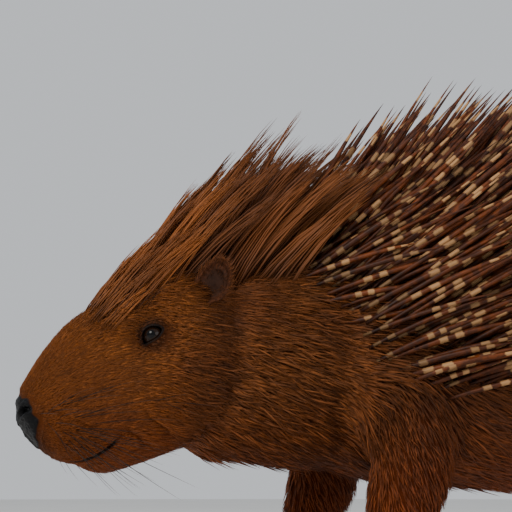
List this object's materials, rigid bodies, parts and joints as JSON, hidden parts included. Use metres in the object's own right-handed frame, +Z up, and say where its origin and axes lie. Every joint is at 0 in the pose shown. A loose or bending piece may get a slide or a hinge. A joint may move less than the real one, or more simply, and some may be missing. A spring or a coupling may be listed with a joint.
{
  "type": "crested porcupine, still life-size model",
  "caption": "Life-size still model of a crested porcupine, walking with its head low, its quills half raised and its crest lifted; it stands on its own feet.",
  "frame": {"origin": "on the ground under the middle of the whole animal, its quills and claws included", "axes": "+Z up from the ground, -X the way the animal faces, -Y its left side"},
  "size_m": [0.8324, 0.3378, 0.4685],
  "materials": {
    "coat": "short coarse hair",
    "quills": "smooth horn with pale bands",
    "crest": "long stiff hair",
    "skin": "bare skin",
    "eye": "wet gloss",
    "claw": "worn horn"
  },
  "bodies": {
    "root": {"ear_left": "skin", "ear_right": "skin", "eye_left": "eye", "eye_right": "eye", "foot_front_left": "skin", "foot_front_right": "skin", "foot_hind_left": "skin", "foot_hind_right": "skin", "head": "coat", "leg_front_left": "coat", "leg_front_right": "coat", "leg_hind_left": "coat", "leg_hind_right": "coat", "neck": "coat", "tail": "quills", "torso": "quills"}
  },
  "joints": []
}
